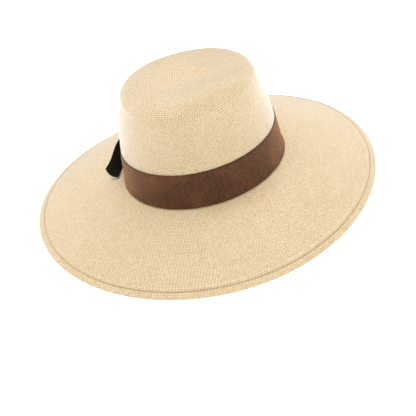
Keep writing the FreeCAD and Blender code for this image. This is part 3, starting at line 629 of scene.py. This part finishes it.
def make_straw():
    """Crown, brim and folded hem as one closed woven shell."""
    wanted = np.arange(fine_distance[0], fine_distance[-1], WEAVE_PITCH / 3)
    picked = np.searchsorted(fine_distance, wanted)
    face, face_distance = fine_upper[picked], fine_distance[picked]
    normals = net_normals(fine_upper, closed_rings=True)[picked]
    depth = np.interp(face_distance, CROWN_RINGS, (CROWN_RIDGE, BRIM_RIDGE))
    rounded = np.abs(np.sin(math.pi * face_distance / WEAVE_PITCH)) - RIDGE_REST
    ridge = (depth * rounded)[:, None, None]
    upper = face + normals * ridge
    lower = face - normals * (STRAW + ridge)

    bend, channel = HEM_CHANNEL + STRAW, HEM_CHANNEL
    runs = np.arange(HEM_START, 0.1, -0.4)
    sink = [0.35 * bell(inward - HEM_SEAM, 0.8) for inward in runs]
    half_turn = np.radians(np.linspace(80, -80, 11))
    outer = [(inward, bend - dip) for inward, dip in zip(runs, sink)]
    outer += [(-bend * math.cos(turn), bend * math.sin(turn)) for turn in half_turn]
    back_runs = np.arange(0.8, HEM_FOLD, 0.45)
    outer += [(inward, fold_height(inward) - STRAW) for inward in back_runs]
    lip = [
        (HEM_FOLD + 0.3, fold_height(HEM_FOLD) - 0.8 * STRAW),
        (HEM_FOLD + 0.3, fold_height(HEM_FOLD) - 0.2 * STRAW),
    ]
    inner = [(inward, fold_height(inward)) for inward in back_runs[::-1]]
    inner += [(-channel * math.cos(turn), channel * math.sin(turn)) for turn in half_turn[::-2]]
    inner += [(inward, channel) for inward in runs[::-1]]
    places = outer + lip + inner
    hem = np.array([hem_point(ring_angles[None, :], inward, up)[0] for inward, up in places])
    count = len(outer) + len(lip)
    run = np.cumsum(np.linalg.norm(np.diff(np.array(places[:count]), axis=0), axis=1))
    outer_distance = hem_distance + np.concatenate([[0.5], 0.5 + run])
    inner_distance = np.linspace(outer_distance[-1], hem_distance, len(inner))
    net = np.concatenate([upper, hem, lower[::-1]], 0)
    distance = np.concatenate([
        face_distance, outer_distance, inner_distance, face_distance[::-1],
    ])
    index = np.arange(net.shape[0] * AROUND).reshape(net.shape[0], AROUND)
    poles = np.array([net[0].mean(0), net[-1].mean(0)])
    points = np.concatenate([net.reshape(-1, 3), poles], 0)
    faces = [quads(index, False, True)]
    for row, pole in ((0, index.size), (-1, index.size + 1)):
        ring = index[row]
        after = np.roll(ring, -1)
        pair = (after, ring) if row else (ring, after)
        faces.append(np.stack([np.full(AROUND, pole), *pair], -1))
    rings = net.shape[0]
    values = {
        "ring_distance": np.concatenate([np.repeat(distance, AROUND), [0, 0]]),
        "turn_cosine": np.concatenate([np.tile(np.cos(ring_angles), rings), [0, 0]]),
        "turn_sine": np.concatenate([np.tile(np.sin(ring_angles), rings), [0, 0]]),
    }
    piece = make_mesh("straw", points, faces, "straw", values)
    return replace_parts(piece, "straw_body")


def hem_stitches(name, node, upward_by, dip, phase):
    """A row of separate stitches round the brim, each end drawn down into the straw."""
    edge = hem_point(ring_angles, HEM_SEAM + 0 * ring_angles[:, None], upward_by)
    steps = np.linalg.norm(np.roll(edge, -1, axis=0) - edge, axis=-1)
    distance = np.concatenate([[0], np.cumsum(steps)])
    count = int(distance[-1] / HEM_STITCH)
    pitch = distance[-1] / count
    shares = np.linspace(-STITCH_SHARE, STITCH_SHARE, 9)
    wanted = (np.arange(count)[:, None] + phase + shares) * pitch % distance[-1]
    turn = np.interp(wanted, distance, np.append(ring_angles, 2 * math.pi))
    lowered = upward_by - dip * np.abs(shares / STITCH_SHARE) ** 4
    paths = hem_point(turn, HEM_SEAM + 0 * turn[..., None], lowered[None, :, None])
    sideways = oval_normal(turn[:, 4])
    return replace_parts(stitches(name, paths, sideways, THREAD, "straw_thread"), node)


# ---------------------------------------------------------------- ribbons round the crown


def wound_ribbon(name, node, slot, bottom, height, outward, thickness, joint, start, columns):
    """A ribbed strip that runs once round the crown's wall, its two ends butted together."""
    turns = start + np.linspace(0, 2 * math.pi, 1200)
    middle = wall_point(turns, bottom + height / 2 + 0 * turns, outward)
    steps = np.linalg.norm(np.diff(middle, axis=0), axis=1)
    distance = np.concatenate([[0], np.cumsum(steps)])
    rows = round(RIB_ROWS * (distance[-1] - joint) / RIB_PITCH)
    along = np.linspace(joint / 2, distance[-1] - joint / 2, rows)
    turn = np.interp(along, distance, turns)[:, None]
    across = np.linspace(-height / 2, height / 2, columns)
    rib = np.abs(np.cos(math.pi * along / RIB_PITCH))[:, None]
    edge = np.abs(across / across[-1]) ** 30
    level = bottom + height / 2 + across + np.sign(across) * edge * 0.25 * (rib - 1)
    net = wall_point(turn, level, outward)
    piece = ribbon(name, net, thickness, slot, along, across)
    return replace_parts(piece, node)


def upright_tacks(name, node, slot, places):
    """Short upright stitches: each place is an angle, the stitch's foot and its stand-off."""
    shares = np.linspace(0, 1, 7)
    paths, sideways = [], []
    for angle, foot, outward in places:
        sunk = outward - TACK * np.abs(2 * shares - 1) ** 4
        paths.append(wall_point(angle, foot + shares * TACK_LENGTH, sunk))
        sideways.append(oval_normal(np.float64(angle)))
    piece = stitches(name, np.array(paths), np.array(sideways), TACK, slot)
    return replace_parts(piece, node)


# ---------------------------------------------------------------- bow

TAIL_LAYER, KNOT_BACK, INNER_LEAF, OUTER_LEAF, KNOT_FRONT = 0.8, 1.7, 2.6, 3.7, 4.9
OUTER_PATH = ((0.02, 0), (0.12, 0), (0.22, 0.02), (0.34, 0.5), (0.52, 0.9), (0.7, 1), (0.88, 0.92))
INNER_PATH = ((0.99, 0.55), (0.99, 0.2), (0.88, 0), (0.7, 0), (0.5, 0), (0.25, 0), (0, 0))
LOOP_PINCHED, LOOP_OPENING, TAIL_PINCHED, TAIL_OPEN_AT = 0.6, 0.45, 0.66, 0.5
TAIL_SWELL, TAIL_SWELL_POWER, TAIL_CURL_POWER, TAIL_DROOP_POWER = 0.58, 2.2, 6, 1.15
ACROSS = np.array([-1.0, -0.7, -0.35, 0.0, 0.35, 0.7, 1.0])
KNOT_OUTLINE = ((0, 0.02), (0, 0.35), (0, 0.75), (0, 0.95), (0.5, 1.06), (1, 0.95), (1, 0.7),
                (1, 0.35), (1, 0))
TAIL_HALF = (0.14, 0.28, 0.41, 0.55, 0.68, 0.78, 0.86, 0.93, 1.0)
TAIL_SHARES = tuple(-share for share in TAIL_HALF[::-1]) + (0.0,) + TAIL_HALF


def bow_point(distance, height, outward):
    """Points of the bow, a distance round from its knot."""
    return wall_point(angle_along(BOW_ANGLE, distance), height, outward)


def ribbon_from(name, node, net, half_width, columns):
    """A black ribbon on the smooth surface of a coarse net."""
    net, along = even_rows(smooth_net(net, 900, columns), RIB_PITCH / RIB_ROWS)
    across = np.linspace(-half_width, half_width, columns)
    piece = ribbon(name, net, BOW_THICKNESS, "black_ribbon", along, across)
    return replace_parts(piece, node)


def make_bow_loops():
    """One ribbon: from the knot out along a loop, back behind the knot, and round the other."""
    half_full = LOOP_HEIGHT / 2
    path = []
    for layer, leaf in ((OUTER_LEAF, OUTER_PATH), (INNER_LEAF, INNER_PATH)):
        for along, lift in leaf:
            path.append((along * LOOP_REACH, layer + lift * (LOOP_BULGE - layer)))
    path += [(-distance, outward) for distance, outward in path[-2::-1]]
    net = []
    for distance, outward in path:
        past_knot = max(0.0, abs(distance) - KNOT_WIDTH / 2)
        opened = min(1.0, past_knot / (LOOP_OPENING * LOOP_REACH))
        half = half_full * (LOOP_PINCHED + (1 - LOOP_PINCHED) * opened * (2 - opened))
        net.append(bow_point(distance, BOW_MIDDLE + ACROSS * half, outward))
    return ribbon_from("bow_loop_ribbon", "bow_loops", net, half_full, 29)


def make_bow_tails():
    """The ribbon under the loops: past them its two cut ends droop and curl out over the brim."""
    net = []
    flare_start = LOOP_REACH + BOW_THICKNESS
    for share in TAIL_SHARES:
        distance = share * TAIL_REACH
        past_loop = max(0.0, abs(distance) - flare_start) / (TAIL_REACH - flare_start)
        droop = past_loop**TAIL_DROOP_POWER
        curl = TAIL_SWELL * (1 - (1 - past_loop) ** TAIL_SWELL_POWER)
        curl += (1 - TAIL_SWELL) * past_loop**TAIL_CURL_POWER
        opened = min(1.0, abs(share) / TAIL_OPEN_AT)
        half = TAIL_HEIGHT / 2 * (TAIL_PINCHED + (1 - TAIL_PINCHED) * opened)
        upper = (1 + ACROSS) / 2
        fall = TAIL_SAG + (TAIL_DROP - TAIL_SAG) * upper
        kick = TAIL_LIFT + (TAIL_FLARE - TAIL_LIFT) * upper
        cup = TAIL_CUP * (1 - ACROSS**2) * curl
        height = BOW_MIDDLE + ACROSS * half - fall * droop - cup
        net.append(bow_point(distance, height, TAIL_LAYER + kick * curl + cup))
    return ribbon_from("bow_tail_ribbon", "bow_tails", net, TAIL_HEIGHT / 2, 29)


def make_bow_knot():
    """A short ribbon wrapped round the middle of the loops, its ends butted behind them."""
    depth = KNOT_FRONT - KNOT_BACK
    outline = [(KNOT_BACK + depth * out, KNOT_HEIGHT / 2 * up) for out, up in KNOT_OUTLINE]
    path = [(outward, -up) for outward, up in outline[:-1]] + outline[::-1]
    net = []
    for outward, up in path:
        net.append([bow_point(s * KNOT_WIDTH / 2, BOW_MIDDLE + up, outward) for s in ACROSS])
    return ribbon_from("bow_knot_ribbon", "bow_knot", net, KNOT_WIDTH / 2, 13)


# ---------------------------------------------------------------- inside the crown


def make_label():
    """A blank woven label, sewn flat to the sweatband at the back."""
    inward = LINING + LABEL_THICKNESS
    along = np.linspace(-LABEL_WIDTH / 2, LABEL_WIDTH / 2, 85)
    across = np.linspace(0, LABEL_HEIGHT, 29)
    turn = angle_along(BACK, along)[:, None]
    puff = 0.12 * np.sin(math.pi * across / LABEL_HEIGHT)[None, :]
    net = wall_point(turn, LABEL_BOTTOM + across, -inward - puff)
    piece = ribbon("label", net, LABEL_THICKNESS, "label_cloth", along, across - LABEL_HEIGHT / 2)
    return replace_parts(piece, "back_label")


def seam_stitches():
    """The running seam at the sweatband's foot."""
    inward = LINING + SEAM_STAND
    turns = np.linspace(0, 2 * math.pi, 721)
    middle = wall_point(turns, SWEAT_BOTTOM + SWEAT_SEAM, -inward)
    distance = np.concatenate([[0], np.cumsum(np.linalg.norm(np.diff(middle, axis=0), axis=1))])
    count = int(distance[-1] / SWEAT_STITCH)
    shares = np.linspace(-0.4, 0.4, 9)
    wanted = (np.arange(count)[:, None] + shares) * distance[-1] / count % distance[-1]
    turn = np.interp(wanted, distance, turns)
    sunk = -inward + 0.3 * np.abs(shares / 0.4) ** 4
    paths = wall_point(turn, SWEAT_BOTTOM + SWEAT_SEAM, sunk)
    piece = stitches("sweatband_seam", paths, oval_normal(turn[:, 4]), THREAD, "straw_thread")
    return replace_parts(piece, "sweatband_thread")


straw = make_straw()
seam_top = HEM_CHANNEL + STRAW - 0.05
seam_bottom = fold_height(HEM_SEAM) - STRAW - 0.37
hem_stitches("hem_top_stitches", "hem_top_thread", seam_top, dip=0.35, phase=0.0)
hem_stitches("hem_bottom_stitches", "hem_bottom_thread", seam_bottom, dip=-0.3, phase=0.5)

band = wound_ribbon("band_ribbon", "hatband", "brown_ribbon", BAND_BOTTOM, BAND_HEIGHT,
                    -BAND_THICKNESS / 2, BAND_THICKNESS, BAND_JOINT, BOW_ANGLE, 17)
tack_height = BAND_BOTTOM + BAND_HEIGHT - BAND_TACK_DROP
tack_spacing = 2 * math.pi / (BAND_TACKS + 1)
upright_tacks("band_tacks", "hatband_tacks", "brown_thread", [
    (BOW_ANGLE + step * tack_spacing, tack_height, BAND_TACK_STAND)
    for step in range(1, BAND_TACKS + 1)
])

loops, tails, knot = make_bow_loops(), make_bow_tails(), make_bow_knot()
upright_tacks("bow_tack_stitches", "bow_tacks", "black_thread", [
    (angle_along(BOW_ANGLE, side * BOW_TACK_OFFSET * KNOT_WIDTH),
     BOW_MIDDLE + level * TAIL_HEIGHT, BOW_TACK_STAND)
    for side in (-1, 1) for level in BOW_TACK_LEVELS
])

sweatband = wound_ribbon("sweatband_ribbon", "sweatband", "cotton_ribbon", SWEAT_BOTTOM,
                         SWEAT_HEIGHT, -LINING + SWEAT_THICKNESS / 2, SWEAT_THICKNESS,
                         SWEAT_JOINT, BACK, 13)
seam_stitches()
upright_tacks("sweatband_lap", "sweatband_lap_stitches", "straw_thread", [
    (BACK, SWEAT_BOTTOM + level * SWEAT_HEIGHT, -LINING - LAP_STAND) for level in LAP_LEVELS
])
label = make_label()

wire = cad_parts["brim_wire"]
wire.data.materials.clear()
wire.data.materials.append(materials["wire"])

# ---------------------------------------------------------------- floor, light and camera

FLOOR_REACH = 12.0
VIEW_ANGLES = (-104.345, 39.162, 14.157)     # azimuth, elevation and roll, in degrees
VIEW_AIM = (-33.26, 18.66, -45.24)           # from the middle of the crown's foot, in millimetres
VIEW_DISTANCE, VIEW_LENS = 0.7834, 56.0
LAMPS = (                # name as the camera sees it, place, size and power
    ("right", (-0.2, -1.7, 0.9), 1.2, 2.0),
    ("top", (0.0, 0.0, 3.8), 2.4, 122.0),
    ("back", (1.7, 0.0, 1.0), 1.4, 5.0),
    ("back_left", (1.0, 1.2, 1.4), 1.2, 5.0),
    ("back_right", (1.0, -1.2, 1.4), 1.2, 12.0),
)
WORLD_LIGHT = 0.25


def floor():
    """A plain white floor, larger than the view."""
    mesh = bpy.data.meshes.new("floor")
    reach = FLOOR_REACH
    corners = [(-reach, -reach, 0), (reach, -reach, 0), (reach, reach, 0), (-reach, reach, 0)]
    mesh.from_pydata(corners, [], [(0, 1, 2, 3)])
    plane = bpy.data.objects.new("floor", mesh)
    bpy.context.scene.collection.objects.link(plane)
    n = Nodes("floor")
    n.finish(rgb(250, 250, 250), 0.9, specular=0.1)
    n.put(n.shader.inputs["Emission Color"], (1, 1, 1, 1))
    n.put(n.shader.inputs["Emission Strength"], 1.1)
    plane.data.materials.append(n.material)


def lamp(name, place, aim, size, power):
    """A square soft light."""
    data = bpy.data.lights.new(name, "AREA")
    data.size, data.energy = size, power
    lit = bpy.data.objects.new(name, data)
    lit.location = place
    lit.rotation_euler = (Vector(aim) - Vector(place)).to_track_quat("-Z", "Y").to_euler()
    bpy.context.scene.collection.objects.link(lit)


def camera():
    """The viewing angle: from the wearer's right and a little behind, above the brim."""
    azimuth, elevation, roll = (math.radians(angle) for angle in VIEW_ANGLES)
    aim = (Vector(FOOT) + Vector(VIEW_AIM)) / 1000
    away = Vector((
        math.sin(azimuth) * math.cos(elevation), -math.cos(azimuth) * math.cos(elevation),
        math.sin(elevation),
    ))
    level = Vector((math.cos(azimuth), math.sin(azimuth), 0))
    above = away.cross(level)
    right = level * math.cos(roll) - above * math.sin(roll)
    up = level * math.sin(roll) + above * math.cos(roll)
    data = bpy.data.cameras.new("camera")
    data.sensor_width, data.lens, data.clip_start = 36.0, VIEW_LENS, 0.01
    view = bpy.data.objects.new("camera", data)
    turned = Matrix((right, up, away)).transposed().to_4x4()
    view.matrix_world = Matrix.Translation(aim + away * VIEW_DISTANCE) @ turned
    bpy.context.scene.collection.objects.link(view)
    bpy.context.scene.camera = view


floor()
for lamp_name, place, lamp_size, power in LAMPS:
    lamp(lamp_name, place, FOOT / 1000, lamp_size, power)
world = bpy.data.worlds.new("studio")
world.use_nodes = True
world.node_tree.nodes["Background"].inputs["Color"].default_value = (1, 1, 1, 1)
world.node_tree.nodes["Background"].inputs["Strength"].default_value = WORLD_LIGHT
bpy.context.scene.world = world
bpy.context.scene.view_settings.view_transform = "Standard"
camera()
